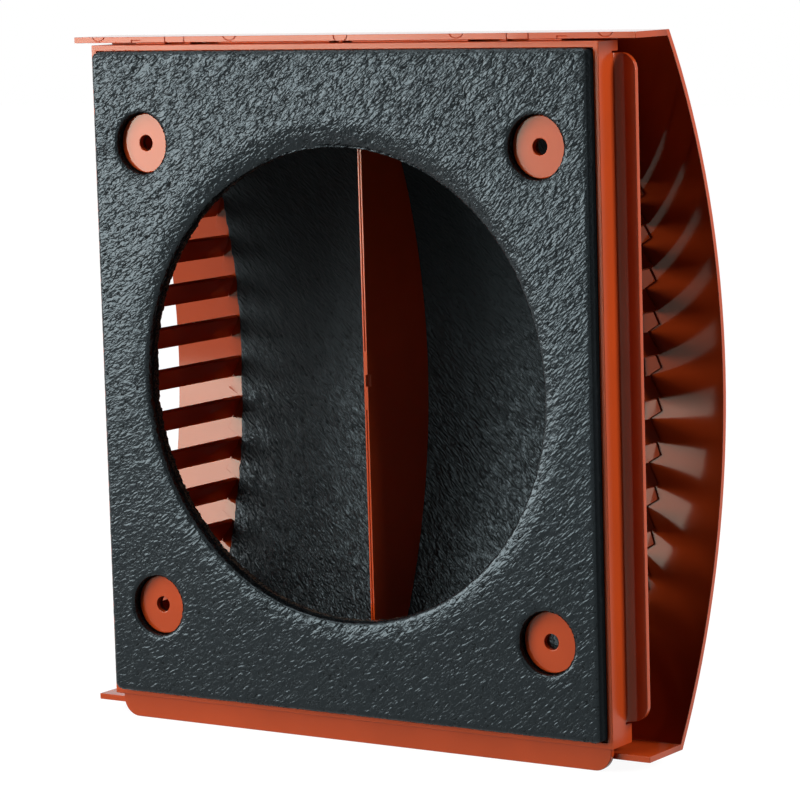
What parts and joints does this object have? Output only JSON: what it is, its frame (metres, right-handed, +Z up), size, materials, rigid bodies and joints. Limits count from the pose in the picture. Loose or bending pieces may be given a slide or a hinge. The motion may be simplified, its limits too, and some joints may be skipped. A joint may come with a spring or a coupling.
{
  "type": "vent hood",
  "caption": "Square wall vent hood with a foam-lined round duct opening, a divider, a louvre on each side and a bowed front cover with flanges.",
  "frame": {"origin": "middle of the four wall screws and of the duct opening, on the plane of the fixing discs' rear faces and the tray's rim", "axes": "+X to the right as seen from the wall side, +Y from the wall out to the bowed front cover, +Z up"},
  "size_m": [0.3524, 0.0986, 0.3739],
  "materials": {
    "paint": "terracotta powder coat with a slight gloss",
    "foam": "moulded black foam with a leathery grain"
  },
  "bodies": {
    "root": {"tray": "paint", "drip_lip": "paint", "back_panel": "paint", "foam_back": "foam", "foam_shell": "foam", "divider": "paint", "hanger_strip": "paint", "cover": "paint", "comb_left": "paint", "comb_right": "paint", "cheek_left_top": "paint", "cheek_left_bottom": "paint", "cheek_right_top": "paint", "cheek_right_bottom": "paint", "disc_left_top": "paint", "disc_left_bottom": "paint", "disc_right_top": "paint", "disc_right_bottom": "paint", "slat_left_1": "paint", "slat_left_2": "paint", "slat_left_3": "paint", "slat_left_4": "paint", "slat_left_5": "paint", "slat_left_6": "paint", "slat_left_7": "paint", "slat_left_8": "paint", "slat_left_9": "paint", "slat_left_10": "paint", "slat_left_11": "paint", "slat_right_1": "paint", "slat_right_2": "paint", "slat_right_3": "paint", "slat_right_4": "paint", "slat_right_5": "paint", "slat_right_6": "paint", "slat_right_7": "paint", "slat_right_8": "paint", "slat_right_9": "paint", "slat_right_10": "paint", "slat_right_11": "paint"}
  },
  "joints": []
}
